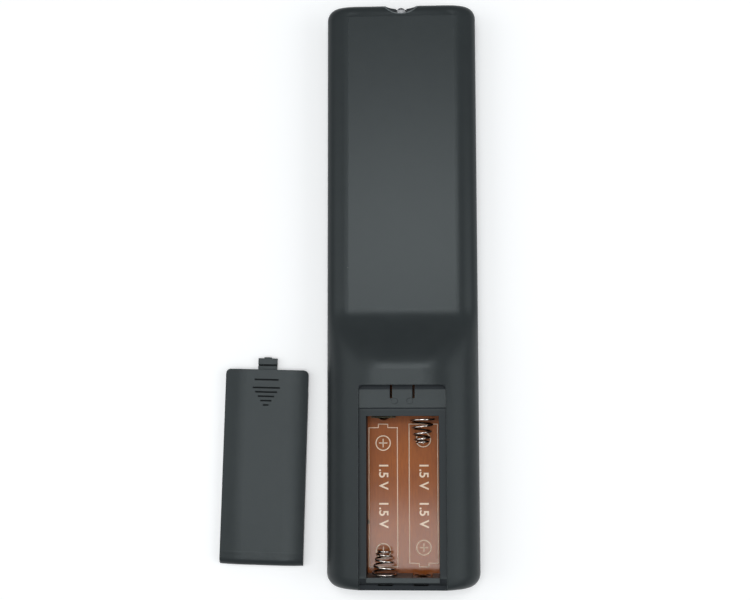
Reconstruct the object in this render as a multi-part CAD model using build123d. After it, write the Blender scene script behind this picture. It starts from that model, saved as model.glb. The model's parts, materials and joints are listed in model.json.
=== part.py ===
from build123d import *
import os
from math import cos, hypot, pi, radians, sin, sqrt

# Infrared remote control of a satellite receiver, lying face down with its battery cover off.
# Millimetres. +Z points up, out of the back of the remote, and the front rim lies on z = 0.
# +Y points to the end with the infrared emitter. The origin is the middle of the front rim.
# Names: head is the emitter's end, foot is the battery's end.

# Casing seen from behind
length = 186.4
width = 48.2
head_corner = 4.0
foot_corner = 4.5
wall = 1.6
least_corner = 0.5
least_round = 0.3

# Back of the casing: thin at the head, a slope, then the hump over the batteries
thin_height = 13.5
side_height = 8.6
thin_shoulder = 7.1
hump_shoulder = 17.6
head_round = 2.5
foot_round = 2.0
slope_length = 19.4
ridge_length = 5.0

# Front of the casing
front_round = 2.0
rim_width = 3.6
face_sink = 1.2
face_wall = 1.6
seam_over_board = 1.5
seam_width = 0.35
seam_height = 0.3

# Lip, lugs and board supports that join the two casings
join_play = 0.15
lip_thickness = 0.8
lip_depth = 1.2
lug_reach = 0.45
lug_height = 0.6
lug_length = 6.0
lug_pitch = 38.0
lug_count = 4
post_radius = 1.0
post_play = 0.25
post_inset = 4.2
post_reach = 1.5
pillar_radius = 2.1

# Keypad, from the face inwards
key_back = 0.3
key_play = 0.25
key_edge = 0.4
flange_play = 0.25
flange_width = 0.5
flange_thickness = 0.7
web_thickness = 0.35
web_play = 0.15
web_width = 0.35
web_seat = 0.35
mat_thickness = 1.1
mat_margin = 4.0
key_travel = 0.8
pill_play = 0.05
pill_thickness = 0.4
pill_radius = 1.8

# Outlines of the keys
digit_across = 9.6
digit_along = 5.8
digit_corner = 2.2
small_across = 7.4
small_along = 5.2
small_corner = 1.8
rocker_across = 7.4
rocker_along = 9.4
rocker_corner = 2.6
arrow_long = 10.6
arrow_short = 6.2
arrow_corner = 2.4
round_radius = 3.5
ok_radius = 4.3

# Rows of keys, from the head
first_row = 15.7
column_margin = 1.6
power_to_digits = 14.0
digit_pitch = 11.0
digits_to_volume = 13.0
volume_pitch = 12.0
volume_to_arrows = 20.0
arrow_reach = 11.0
arrows_to_colours = 24.0
colours_to_playback = 12.0

# Circuit board
board_thickness = 1.2
board_play = 0.5
board_head = 6.2
lead_hole = 0.9
spot_hole = 1.5
spot_hole_foot = 19.9

# Battery bay for two AAA cells side by side
cell_diameter = 10.5
cell_length = 44.5
cell_gap = 1.5
cell_side_play = 0.1
cell_top_play = 1.6
contact_room = 4.95
bay_wall = 1.6
bay_side_wall = 1.2
lip_gap = 0.75
groove_depth = 0.8
tab_slot_reach = 0.25
tab_slot_width = 0.6
tab_slot_near = 3.2
tab_slot_far = 7.8

# Ledge and shelf that the cover seats on
ledge_height = 10.0
ledge_width = 2.3
ledge_thickness = 1.4
head_ledge = 2.55
shelf_length = 7.1
shelf_step = 0.8
foot_wall_rise = 1.2
recess_corner = 1.6
latch_slot = 0.72
latch_slot_length = 4.1
latch_slot_apart = 6.3
pin_mark_radius = 0.95
pin_mark_depth = 0.15
pin_mark_across = 2.35
pin_mark_along = 5.0

# Battery cover and where it lies
cover_thickness = 1.5
cover_play = 0.2
cover_rib = 1.3
seat_gap = 0.1
tongue_width = 6.2
tongue_length = 3.7
tongue_thickness = 1.0
tongue_nose = 0.35
tongue_nose_width = 2.4
tongue_root = 2.8
tongue_groove = 0.5
tongue_groove_depth = 0.4
tongue_groove_from_edge = 1.45
grip_width = 0.45
grip_depth = 0.35
grip_first = 3.3
grip_second = 5.9
grip_pitch = 1.4
grip_bar = 7.7
grip_longest = 8.8
grip_step = 1.75
grip_count = 5
cover_across = -45.15
cover_along = -56.1
cover_turn = -1.6

# Battery springs and positive contacts
spring_axis = 5.25
wire_diameter = 0.6
spring_base_radius = 3.75
spring_tip_radius = 1.75
spring_quarters = 18
spring_pitch = 2.15
foot_spring_stand_off = 0.35
head_spring_stand_off = 1.1
contact_thickness = 0.4
contact_height = 9.0
head_contact_width = 7.6
foot_contact_width = 5.7
niche_width = 6.1
niche_height = 9.6
niche_back = 0.55
head_contact_gap = 0.15
dimple_radius = 1.9
dimple_height = 0.9
contact_tab = 1.0
contact_tab_pitch = 3.6
tab_play = 0.2

# Infrared emitter and the dished notch in the edge over it
notch_chord = 11.5
notch_over_back = 3.0
notch_down_face = 5.2
notch_wall = 1.2
notch_opening = 2.75
led_over_board = 3.3
led_radius = 1.5
led_back = 0.1
led_body = 3.2
led_flange_radius = 1.9
led_flange = 1.0
led_play = 0.2
led_lead_pitch = 2.54
led_lead = 0.5
led_lead_reach = 2.6

# Parts soldered to the board
part_lift = 0.1
part_lead = 0.5
part_bend = 0.5
part_round = 0.5
part_across = 9.0
part_row_pitch = 9.0
capacitor_radius = 2.5
capacitor_length = 7.5
capacitor_round = 0.3
neck_from_end = 1.2
neck_width = 0.4
neck_depth = 0.3
resonator_across = 7.4
resonator_along = 3.0
resonator_height = 4.4
transistor_width = 4.6
transistor_depth = 3.5
transistor_height = 4.5
resistor_radius = 1.1
resistor_length = 6.2
resistor_pitch = 4.2
resistor_count = 3
resistor_lead_reach = 1.6
disc_radius = 2.1
disc_thickness = 1.8
disc_pitch = 7.0
disc_count = 2
jumper_length = 9.0
jumper_height = 0.9
jumper_pitch = 5.5
jumper_count = 5
blob_radius = 5.5
blob_height = 1.3
blob_below_mat = 15.0

# Heights that follow from the stack between the face and the batteries
face_inner = face_sink + face_wall
flange_low = face_inner + flange_play
mat_low = flange_low + flange_thickness + web_thickness
board_low = mat_low + mat_thickness
board_top = board_low + board_thickness
split_height = board_top + seam_over_board
led_height = board_top + led_over_board
hump_height = board_top + cell_diameter + cell_top_play + cover_thickness
ledge_top = board_top + ledge_height
shelf_top = ledge_top + shelf_step
seat_height = ledge_top + seat_gap

# Places along the casing
head_y = length / 2
foot_y = -length / 2
bay_foot = foot_y + wall + lip_gap + bay_wall
bay_head = bay_foot + cell_length + contact_room
recess_head = bay_head + head_ledge + shelf_length
ridge_y = recess_head + ridge_length
slope_y = ridge_y + slope_length
cell_x = (cell_diameter + cell_gap) / 2
bay_half = cell_x + cell_diameter / 2 + cell_side_play
recess_half = bay_half + ledge_width
cover_half = recess_half - cover_play
cover_head = recess_head - cover_play
post_x = width / 2 - post_inset


# Shared shapes

def plan(inset):
    """Outline of the casing seen from behind, drawn in by inset on every side."""
    x, y = width / 2 - inset, length / 2 - inset
    head = max(head_corner - inset, least_corner)
    foot = max(foot_corner - inset, least_corner)
    return make_face(
        Line((head - x, y), (x - head, y))
        + CenterArc((x - head, y - head), head, 0, 90)
        + Line((x, y - head), (x, foot - y))
        + CenterArc((x - foot, foot - y), foot, 270, 90)
        + Line((x - foot, -y), (foot - x, -y))
        + CenterArc((foot - x, foot - y), foot, 180, 90)
        + Line((-x, foot - y), (-x, y - head))
        + CenterArc((head - x, y - head), head, 90, 90)
    )


def slab(outline, low, high):
    """The outline as a solid between two heights."""
    return extrude(Pos(0, 0, low) * outline, high - low)


def block(x0, x1, y0, y1, z0, z1):
    """A box between the given limits."""
    centre = ((x0 + x1) / 2, (y0 + y1) / 2, (z0 + z1) / 2)
    return Pos(*centre) * Box(x1 - x0, y1 - y0, z1 - z0)


def disc(x, y, radius, low, high):
    """An upright cylinder between two heights."""
    return Pos(x, y, (low + high) / 2) * Cylinder(radius, high - low)


def rod(x, y0, y1, z, radius):
    """A cylinder along Y."""
    return Pos(x, (y0 + y1) / 2, z) * Rot(90, 0, 0) * Cylinder(radius, abs(y1 - y0))


def group(shapes):
    """Separate solids as one piece."""
    return Compound([shape.solid() for shape in shapes])


def wire(points, diameter, bend):
    """A round wire through the points, bent to the given inner radius."""
    path = FilletPolyline(*points, radius=bend + diameter / 2)
    start = Plane(origin=path @ 0, z_dir=path % 0)
    return sweep(start * Circle(diameter / 2), path=path)


# Back of the casing, lofted from sections that stand across it

def section(y, half, crown, shoulder, low):
    """One section: upright sides to side_height, curved shoulders and a flat crown."""
    flat = half - shoulder
    bulge = 4 / 3 * (sqrt(2) - 1)
    knee = side_height + bulge * (crown - side_height)
    hip = flat + bulge * shoulder
    outline = make_face(
        Line((-half, low), (half, low))
        + Line((half, low), (half, side_height))
        + Bezier((half, side_height), (half, knee), (hip, crown), (flat, crown))
        + Line((flat, crown), (-flat, crown))
        + Bezier((-flat, crown), (-hip, crown), (-half, knee), (-half, side_height))
        + Line((-half, side_height), (-half, low))
    )
    return Plane.XZ.offset(-y) * outline


def end_sections(toward, inset, corner, rounding, crown, shoulder, low):
    """Sections of one end, closer together towards its face, round its corners and top edge."""
    steps = 6
    full_half = width / 2 - inset
    corner = max(corner - inset, least_corner)
    rounding = max(rounding - inset, least_round)
    sections = []
    for step in range(steps + 1):
        angle = radians(90 * step / steps)
        from_face = corner * (1 - sin(angle))
        half = full_half - corner * (1 - cos(angle))
        near = max(rounding - from_face, 0)
        drop = rounding - sqrt(rounding**2 - near**2)
        y = toward * (length / 2 - inset - from_face)
        sections.append(
            section(y, half, crown - inset - drop, shoulder * half / full_half, low)
        )
    return sections


def slope_sections(inset, low):
    """Sections from the thin part up to the hump's ridge, easing in and out."""
    steps = 8
    sections = []
    for step in range(steps + 1):
        share = step / steps
        rise = share * share * (3 - 2 * share)
        crown = thin_height + (hump_height - thin_height) * rise - inset
        shoulder = hump_shoulder - (hump_shoulder - thin_shoulder) * cos(pi / 2 * rise)
        y = slope_y + (ridge_y - slope_y) * share
        sections.append(section(y, width / 2 - inset, crown, shoulder, low))
    return sections


def back_form(inset, low):
    """The back of the casing as a solid, drawn in by inset, from the height low upwards."""
    head = end_sections(1, inset, head_corner, head_round, thin_height, thin_shoulder, low)
    foot = end_sections(-1, inset, foot_corner, foot_round, hump_height, hump_shoulder, low)
    slope = slope_sections(inset, low)
    return (
        loft(head)
        + loft([head[0], slope[0]])
        + loft(slope)
        + loft([slope[-1], foot[0]])
        + loft(foot)
    )


# Keys: where each one is, and its outline

def column_x(column, count, across):
    """Centre of a column, counted from the left of the face, which is at +X from behind."""
    outer = width / 2 - rim_width - column_margin - across / 2
    return outer - 2 * outer * column / (count - 1)


def row_heights():
    """Y of each row of keys, from the head."""
    power = head_y - first_row
    first_digit = power - power_to_digits
    volume = first_digit - 3 * digit_pitch - digits_to_volume
    arrows = volume - volume_pitch - volume_to_arrows
    colours = arrows - arrows_to_colours
    return {
        "power": power,
        "digit": first_digit,
        "last_digit": first_digit - 3 * digit_pitch,
        "volume": volume,
        "arrows": arrows,
        "colours": colours,
        "playback": colours - colours_to_playback,
    }


def key_places():
    """Name of every key, with its outline's name and its centre."""
    rows = row_heights()
    left, middle, right = (column_x(column, 3, digit_across) for column in range(3))
    places = {
        "key_power": ("round", left, rows["power"]),
        "key_mute": ("round", right, rows["power"]),
    }
    pad = [str(digit) for digit in range(1, 10)] + ["info", "0", "guide"]
    for index, label in enumerate(pad):
        x = (left, middle, right)[index % 3]
        places["key_" + label] = ("digit", x, rows["digit"] - index // 3 * digit_pitch)
    for x, name in ((left, "volume"), (right, "channel")):
        places[f"key_{name}_up"] = ("rocker", x, rows["volume"])
        places[f"key_{name}_down"] = ("rocker", x, rows["volume"] - volume_pitch)
    places["key_menu"] = ("digit", middle, rows["volume"])
    places["key_return"] = ("digit", middle, rows["volume"] - volume_pitch)
    arrows = rows["arrows"]
    places["key_up"] = ("wide_arrow", middle, arrows + arrow_reach)
    places["key_down"] = ("wide_arrow", middle, arrows - arrow_reach)
    places["key_left"] = ("tall_arrow", middle + arrow_reach, arrows)
    places["key_right"] = ("tall_arrow", middle - arrow_reach, arrows)
    places["key_ok"] = ("ok", middle, arrows)
    for column, name in enumerate(("red", "green", "yellow", "blue")):
        x = column_x(column, 4, small_across)
        places["key_" + name] = ("small", x, rows["colours"])
    for column, name in enumerate(("rewind", "play", "stop", "forward")):
        x = column_x(column, 4, small_across)
        places["key_" + name] = ("small", x, rows["playback"])
    return places


def key_outline(kind, grow):
    """A key's outline, grown by a margin on every side."""
    if kind == "round":
        return Circle(round_radius + grow)
    if kind == "ok":
        return Circle(ok_radius + grow)
    across, along, corner = {
        "digit": (digit_across, digit_along, digit_corner),
        "small": (small_across, small_along, small_corner),
        "rocker": (rocker_across, rocker_along, rocker_corner),
        "wide_arrow": (arrow_long, arrow_short, arrow_corner),
        "tall_arrow": (arrow_short, arrow_long, arrow_corner),
    }[kind]
    return RectangleRounded(across + 2 * grow, along + 2 * grow, corner + grow)


def key_prisms(grow, low, high):
    """All the keys' outlines, grown by a margin, as solids between two heights."""
    return [
        slab(Pos(x, y) * key_outline(kind, grow), low, high)
        for kind, x, y in key_places().values()
    ]


def post_rows():
    """Y of each row of board posts: in gaps between rows of keys, and one beside the bay."""
    rows = row_heights()
    gaps = (("power", "digit"), ("last_digit", "volume"), ("arrows", "colours"))
    ys = [(rows[above] + rows[below]) / 2 for above, below in gaps[:2]]
    last_arrow = rows["arrows"] - arrow_reach
    ys.append((last_arrow + rows["colours"]) / 2)
    ys.append((bay_foot + bay_head) / 2)
    return ys


def post_places():
    """Centre of every board post."""
    return [(side * post_x, y) for y in post_rows() for side in (-1, 1)]


def mat_foot():
    """Y of the keypad's end below the last row of keys."""
    return row_heights()["playback"] - small_along / 2 - mat_margin


def lug_places():
    """Y of each snap lug along a side."""
    first = -lug_pitch * (lug_count - 1) / 2
    return [first + index * lug_pitch for index in range(lug_count)]


# Casings

def notch_ball(grow):
    """Ball that dishes out the notch: it meets the back and the face in arcs on one chord."""
    out = (notch_chord**2 / 4 / notch_over_back - notch_over_back) / 2
    up = (notch_chord**2 / 4 / notch_down_face - notch_down_face) / 2
    radius = hypot(notch_over_back + out, up)
    return Pos(0, head_y + out, thin_height + up) * Sphere(radius + grow)


def emitter_way():
    """Way that lets the back shell down over the emitter, open to the notch above it."""
    half = led_radius + led_play
    inner = head_y - notch_over_back - 2 * wall
    outer = head_y + wall
    return (
        rod(0, inner, outer, led_height, half)
        + block(-half, half, inner, outer, split_height - 2 * lip_depth, led_height)
        + block(-half, half, head_y - notch_opening, outer, led_height, thin_height + wall)
    )


def cover_frame(inside):
    """Plate and walls round the cover's recess, kept inside the casing's form."""
    half = recess_half + wall
    frame = block(-half, half, foot_y, recess_head + wall,
                  ledge_top - ledge_thickness, hump_height)
    return frame & inside


def recess_cut():
    """Space that the cover slides into, open at the foot, with rounded head corners."""
    span = recess_head - foot_y + wall
    outline = Pos(0, recess_head - span / 2) * Rectangle(2 * recess_half, span)
    corners = outline.vertices().sort_by(Axis.Y)[2:]
    return slab(fillet(corners, recess_corner), ledge_top, hump_height + wall)


def shelf():
    """Raised shelf at the head of the recess, which the cover's latch rides over."""
    return block(-recess_half, recess_half, recess_head - shelf_length, recess_head,
                 ledge_top - ledge_thickness, shelf_top)


def latch_cuts():
    """Two slots that free the latch flap, two mould marks and the tongue's window."""
    cuts = []
    inner = latch_slot_apart / 2
    for side in (-1, 1):
        near, far = sorted((side * inner, side * (inner + latch_slot)))
        cuts.append(block(near, far, recess_head - latch_slot_length, recess_head,
                          ledge_top - 2 * ledge_thickness, shelf_top + 1))
        cuts.append(disc(side * pin_mark_across, recess_head - pin_mark_along,
                         pin_mark_radius, shelf_top - pin_mark_depth, shelf_top + 1))
    window = tongue_width / 2 + cover_play
    cuts.append(block(-window, window, recess_head - cover_play, recess_head + 2 * wall,
                      shelf_top, hump_height - wall))
    return cuts


def bay_walls():
    """Four walls from the ledge down to the board."""
    outer = block(-bay_half - bay_side_wall, bay_half + bay_side_wall,
                  bay_foot - bay_wall, bay_head + bay_wall, board_top, ledge_top)
    foot_top = block(-bay_half, bay_half, bay_foot - bay_wall, bay_foot,
                     ledge_top, ledge_top + foot_wall_rise)
    return outer + foot_top


def bay_cuts():
    """Inside of the bay, the foot contact's niche, and the cover's groove and tab slots."""
    inside = block(-bay_half, bay_half, bay_foot, bay_head, board_top, hump_height)
    niche = block(cell_x - niche_width / 2, cell_x + niche_width / 2,
                  bay_foot - bay_wall, bay_foot, board_top, board_top + niche_height)
    groove_y = foot_y + wall
    cuts = [inside, niche]
    cuts.append(block(-recess_half, recess_half, groove_y, groove_y + lip_gap,
                      ledge_top - groove_depth, ledge_top + 1))
    for side in (-1, 1):
        near, far = sorted((side * tab_slot_near, side * tab_slot_far))
        outer = groove_y - tab_slot_reach
        cuts.append(block(near, far, outer, outer + tab_slot_width,
                          ledge_top - 2 * ledge_thickness, ledge_top + 1))
    return cuts


def locating_lip():
    """Ring inside the seam, with snap lugs that click into the front casing."""
    outer, inner = wall + join_play, wall + join_play + lip_thickness
    ring = slab(plan(outer), split_height - lip_depth, split_height)
    root = slab(plan(wall / 2), split_height, split_height + lip_depth)
    hole = slab(plan(inner), split_height - 2 * lip_depth, split_height + 2 * lip_depth)
    lip = ring + root - hole
    edge = width / 2 - outer
    low = split_height - lip_depth + join_play
    for y in lug_places():
        for side in (-1, 1):
            near, far = sorted((side * (edge - lip_thickness), side * (edge + lug_reach)))
            lip += block(near, far, y - lug_length / 2, y + lug_length / 2,
                         low, low + lug_height)
    return lip


def rear_casing():
    """Back shell with the cover's recess, the battery bay and the emitter's notch."""
    form = back_form(0, split_height)
    inside = back_form(wall / 2, split_height)
    casing = form - back_form(wall, split_height - 1)
    casing += cover_frame(form)
    for x, y in post_places():
        casing += disc(x, y, pillar_radius, board_top, hump_height) & (
            inside + slab(plan(wall), board_top, split_height)
        )
    casing += notch_ball(notch_wall) & form
    casing += locating_lip()
    casing -= recess_cut()
    casing += shelf() + bay_walls()
    for cut in latch_cuts() + bay_cuts():
        casing -= cut
    for x, y in post_places():
        casing -= disc(x, y, post_radius + post_play, board_top,
                       board_top + post_reach + post_play)
    return casing - notch_ball(0) - emitter_way()


def front_casing():
    """Front shell with its rim, sunk key field, key holes and board posts."""
    tub = slab(plan(0), 0, split_height - seam_height)
    tub = fillet(tub.edges().group_by(Axis.Z)[0], front_round)
    tub += slab(plan(seam_width), split_height - 2 * seam_height, split_height)
    tub -= slab(plan(wall), face_inner, split_height + 1)
    tub -= slab(plan(rim_width), -1, face_sink)
    for hole in key_prisms(key_play, -1, face_inner + 1):
        tub -= hole
    for x, y in post_places():
        carried = mat_low if y > mat_foot() else board_low
        tub += disc(x, y, pillar_radius, face_inner - face_wall / 2, carried)
        tub += disc(x, y, post_radius, carried, board_top + post_reach)
    low = split_height - lip_depth
    for y in lug_places():
        for side in (-1, 1):
            wall_x = width / 2 - wall
            near, far = sorted((side * (wall_x - 1), side * (wall_x + lug_reach)))
            half = lug_length / 2 + join_play
            tub -= block(near, far, y - half, y + half, low, low + lug_height + 2 * join_play)
    return tub


# Battery cover, built in its seat and then laid beside the remote

def cover_shell():
    """Curved skin with ribs at its sides, head and foot that stand on the ledge."""
    skin = back_form(0, split_height)
    span = cover_head - foot_y
    outline = Pos(0, cover_head - span / 2) * Rectangle(2 * cover_half, span)
    corners = outline.vertices().sort_by(Axis.Y)[2:]
    shell = skin & slab(fillet(corners, recess_corner), seat_height, hump_height + 1)
    half = cover_half - cover_rib
    hollow = block(-half, half, foot_y + cover_rib, cover_head - cover_rib,
                   split_height, hump_height)
    shell -= back_form(cover_thickness, split_height) & hollow
    shelf_end = recess_head - shelf_length - cover_play
    return shell - block(-recess_half, recess_half, shelf_end, recess_head,
                         split_height, shelf_top + seat_gap)


def cover_tongue():
    """Latch tongue under the cover's head edge, with a nose and a cross groove."""
    low = shelf_top + seat_gap
    high = low + tongue_thickness
    half = tongue_width / 2
    tongue = block(-half, half, cover_head - tongue_root, cover_head + tongue_length,
                   low, high)
    tongue += block(-half, half, cover_head - tongue_root, cover_head - cover_play,
                    low, hump_height - cover_thickness / 2)
    tip = cover_head + tongue_length
    tongue += block(-tongue_nose_width / 2, tongue_nose_width / 2, tip - 1,
                    tip + tongue_nose, low, high)
    groove = cover_head + tongue_groove_from_edge
    return tongue - block(-half, half, groove - tongue_groove / 2, groove + tongue_groove / 2,
                          high - tongue_groove_depth, high + 1)


def grip_grooves():
    """Cross bar and five ever shorter grooves that show where to press."""
    places = [(grip_first, grip_bar)]
    for index in range(grip_count):
        places.append((grip_second + index * grip_pitch, grip_longest - index * grip_step))
    return [
        block(-across / 2, across / 2, cover_head - back - grip_width / 2,
              cover_head - back + grip_width / 2, hump_height - grip_depth, hump_height + 1)
        for back, across in places
    ]


def battery_cover():
    """The cover, lying on its ribs beside the remote with its outer face up."""
    cover = cover_shell() + cover_tongue()
    for groove in grip_grooves():
        cover -= groove
    seated = Pos(0, -(cover_head + foot_y) / 2, -seat_height)
    lying = Location((cover_across, cover_along, 0), (0, 0, cover_turn))
    return lying * (seated * cover)


# Keypad

def key(kind, x, y):
    """One silicone key with its retaining flange and, as a second solid, its carbon pill."""
    cap = slab(key_outline(kind, 0), key_back, flange_low)
    cap = fillet(cap.edges().group_by(Axis.Z)[0], key_edge)
    cap += slab(key_outline(kind, flange_width), flange_low, flange_low + flange_thickness)
    pill_top = board_low - key_travel - pill_play
    cap += disc(0, 0, pill_radius, flange_low, pill_top - pill_thickness)
    pill = disc(0, 0, pill_radius, pill_top - pill_thickness, pill_top)
    return group([Pos(x, y) * cap, Pos(x, y) * pill])


def key_webs():
    """Thin rings that hang every key from the base sheet and give way when it is pressed."""
    high = mat_low
    inner = flange_width + web_play
    outer = flange_width + web_width + web_seat
    rings = [
        whole - hole
        for whole, hole in zip(
            key_prisms(outer, high - web_thickness, high),
            key_prisms(inner, high - web_thickness - 1, high + 1),
        )
    ]
    return group(rings)


def key_mat():
    """Base sheet of the keypad, under the board, open behind each key."""
    span = head_y - board_head - mat_foot()
    sheet = slab(plan(wall + board_play), mat_low, board_low) & block(
        -width, width, mat_foot(), mat_foot() + span, 0, board_top
    )
    for hole in key_prisms(flange_width + web_width, mat_low - 1, board_low + 1):
        sheet -= hole
    for x, y in post_places():
        sheet -= disc(x, y, post_radius + post_play, mat_low - 1, board_low + 1)
    return sheet


# Circuit board and what is soldered to it

def led_base_y():
    """Y of the emitter's back."""
    return head_y - led_back - led_radius - led_body - led_flange


def contact_faces():
    """Y of each positive contact's face, its cell's x, the way it faces, and its width."""
    head = bay_head - head_contact_gap - contact_thickness
    foot = bay_foot - niche_back
    return [
        (-cell_x, head, -1, head_contact_width),
        (cell_x, foot, 1, foot_contact_width),
    ]


def circuit_board():
    """Phenolic board that fills the casing and is the floor of the battery bay."""
    board = slab(plan(wall + board_play), board_low, board_top) & block(
        -width, width, foot_y, head_y - board_head, 0, board_top
    )
    holes = [(x, y, post_radius + post_play) for x, y in post_places()]
    bend_y = led_base_y() - led_lead_reach
    holes += [(side * led_lead_pitch / 2, bend_y, lead_hole / 2) for side in (-1, 1)]
    holes.append((-bay_half, foot_y + spot_hole_foot, spot_hole / 2))
    for x, y, radius in holes:
        board -= disc(x, y, radius, board_low - 1, board_top + 1)
    for x, y, toward, _ in contact_faces():
        middle = y - toward * contact_thickness / 2
        half = contact_thickness / 2 + tab_play
        for side in (-1, 1):
            tab_x = x + side * contact_tab_pitch / 2
            reach = contact_tab / 2 + tab_play
            board -= block(tab_x - reach, tab_x + reach, middle - half, middle + half,
                           board_low - 1, board_top + 1)
    return board


def positive_contact(x, y, toward, across):
    """Upright plated strip with a dimple for the cell's cap and two tabs in the board."""
    back = y - toward * contact_thickness
    low, high = sorted((y, back))
    plate = block(x - across / 2, x + across / 2, low, high,
                  board_top, board_top + contact_height)
    for side in (-1, 1):
        tab_x = x + side * contact_tab_pitch / 2
        plate += block(tab_x - contact_tab / 2, tab_x + contact_tab / 2, low, high,
                       board_low, board_top)
    ball = (dimple_radius**2 + dimple_height**2) / (2 * dimple_height)
    dome = Pos(x, y + toward * (dimple_height - ball), board_top + spring_axis) * Sphere(ball)
    near, far = sorted((y, y + toward * dimple_height))
    return plate + (dome & block(x - ball, x + ball, near, far, board_top, hump_height))


def biarc(start, start_way, end, end_way):
    """Two arcs from start to end that meet smoothly and keep both directions."""
    chord, ways = end - start, start_way + end_way
    turn = 2 * (1 - start_way.dot(end_way))
    along = chord.dot(ways)
    reach = (sqrt(along**2 + turn * chord.dot(chord)) - along) / turn
    first, last = start + start_way * reach, end - end_way * reach
    joint = (first + last) / 2
    return [
        TangentArc(start, joint, tangent=start_way),
        TangentArc(joint, end, tangent=last - first),
    ]


def spring_station(quarters, side):
    """Point and direction of the coil's centre line: one flat quarter, then it climbs and closes."""
    angle = pi / 2 * quarters
    share = quarters / spring_quarters
    radius = spring_base_radius + (spring_tip_radius - spring_base_radius) * share
    shrink = (spring_tip_radius - spring_base_radius) / spring_quarters / (pi / 2)
    climb = max(quarters - 1, 0)
    closed = (climb / spring_quarters) ** 3
    pitch = spring_pitch * (1 - closed) if climb else 0
    advance = spring_pitch * climb / 4 * (1 - closed / 4)
    point = Vector(radius * cos(angle), side * advance, radius * sin(angle))
    way = Vector(
        shrink * cos(angle) - radius * sin(angle),
        side * pitch / (2 * pi),
        shrink * sin(angle) + radius * cos(angle),
    )
    return point, way.normalized()


def spring_path(side):
    """Centre line from the board up the leg, round the coil and straight out of its tip."""
    base, _ = spring_station(0, side)
    upward = Vector(0, 0, 1)
    path = [Line(base - upward * spring_axis, base)]
    point, way = base, upward
    for quarter in range(1, spring_quarters + 1):
        following, following_way = spring_station(quarter, side)
        path += biarc(point, way, following, following_way)
        point, way = following, following_way
    path.append(Line(point, point + way * wire_diameter))
    return path


def coil_gap(path):
    """Least clear distance between turns of the wire, measured on points along it."""
    points = [edge @ (step / 6) for edge in path[1:-1] for step in range(6)]
    apart = 2 * len(points) // spring_quarters
    return min(
        hypot(*(a - b)) - wire_diameter
        for index, a in enumerate(points)
        for b in points[index + apart:]
    )


def battery_spring(side):
    """Conical spring of one unbroken wire: +1 stands at the foot, its mirror image at the head."""
    path = spring_path(side)
    print("spring", side, "least gap to itself", round(coil_gap(path), 2))
    start = Plane(origin=path[0] @ 0, z_dir=path[0] % 0)
    coil = sweep(start * Circle(wire_diameter / 2), path=Wire(path))
    base_y = bay_foot + foot_spring_stand_off if side > 0 else bay_head - head_spring_stand_off
    return Pos(-side * cell_x, base_y, board_top + spring_axis) * coil


def infrared_emitter():
    """Clear emitter with its domed end in the notch."""
    base = led_base_y()
    dome_y = base + led_flange + led_body
    lens = rod(0, base, dome_y, led_height, led_radius)
    lens += rod(0, base, base + led_flange, led_height, led_flange_radius)
    return lens + Pos(0, dome_y, led_height) * Sphere(led_radius)


def emitter_leads():
    """Two leads from the emitter's back, bent down through the board."""
    base = led_base_y()
    bend_y = base - led_lead_reach
    leads = []
    for side in (-1, 1):
        x = side * led_lead_pitch / 2
        points = [(x, base, led_height), (x, bend_y, led_height), (x, bend_y, board_low)]
        leads.append(wire(points, led_lead, part_bend))
    return group(leads)


def parts_row(index):
    """Y of a row of board parts, counted from the one over the first row of keys."""
    return row_heights()["power"] - index * part_row_pitch


def smoothing_capacitor():
    """Electrolytic capacitor lying on the board, with its crimped neck."""
    x, y = -part_across, parts_row(0)
    z = board_top + part_lift + capacitor_radius
    end = y - capacitor_length / 2
    can = rod(x, end, end + capacitor_length, z, capacitor_radius)
    can = fillet(can.edges(), capacitor_round)
    neck_end = end + neck_from_end
    neck = rod(x, neck_end, neck_end + neck_width, z, capacitor_radius + 1)
    return can - (neck - rod(x, end, y, z, capacitor_radius - neck_depth))


def ceramic_resonator():
    """Dipped ceramic resonator standing on the board."""
    x, y = part_across, parts_row(1)
    body = Pos(x, y, board_top + part_lift + resonator_height / 2) * Box(
        resonator_across, resonator_along, resonator_height
    )
    return fillet(body.edges(), part_round)


def driver_transistor():
    """Emitter's driver in its half-round case, laid on its flat."""
    y = parts_row(0)
    low = board_top + part_lift
    shaved = transistor_width - transistor_depth
    flat = Pos(0, -transistor_width / 2) * Rectangle(transistor_width, 2 * shaved)
    case = extrude(Circle(transistor_width / 2) - flat, transistor_height)
    axis = low + transistor_width / 2 - shaved
    return Pos(0, y + transistor_height / 2, axis) * Rot(90, 0, 0) * case


def resistors():
    """Small resistors lying across the board."""
    z = board_top + part_lift + resistor_radius
    bodies = []
    for index in range(resistor_count):
        y = parts_row(2) - index * resistor_pitch
        body = Pos(part_across, y, z) * Rot(0, 90, 0) * Cylinder(
            resistor_radius, resistor_length
        )
        bodies.append(fillet(body.edges(), part_round))
    return group(bodies)


def ceramic_capacitors():
    """Disc capacitors standing on the board."""
    z = board_top + part_lift + disc_radius
    bodies = []
    for index in range(disc_count):
        y = parts_row(2) - index * disc_pitch
        body = Pos(-part_across, y, z) * Rot(0, 90, 0) * Cylinder(disc_radius, disc_thickness)
        bodies.append(fillet(body.edges(), part_round))
    return group(bodies)


def wire_jumpers():
    """Bare wire links across the one-sided board."""
    links = []
    for index in range(jumper_count):
        y = parts_row(4) - index * jumper_pitch
        half = jumper_length / 2
        z = board_top + jumper_height
        points = [(-half, y, board_top), (-half, y, z), (half, y, z), (half, y, board_top)]
        links.append(wire(points, part_lead, part_bend / 2))
    return group(links)


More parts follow.
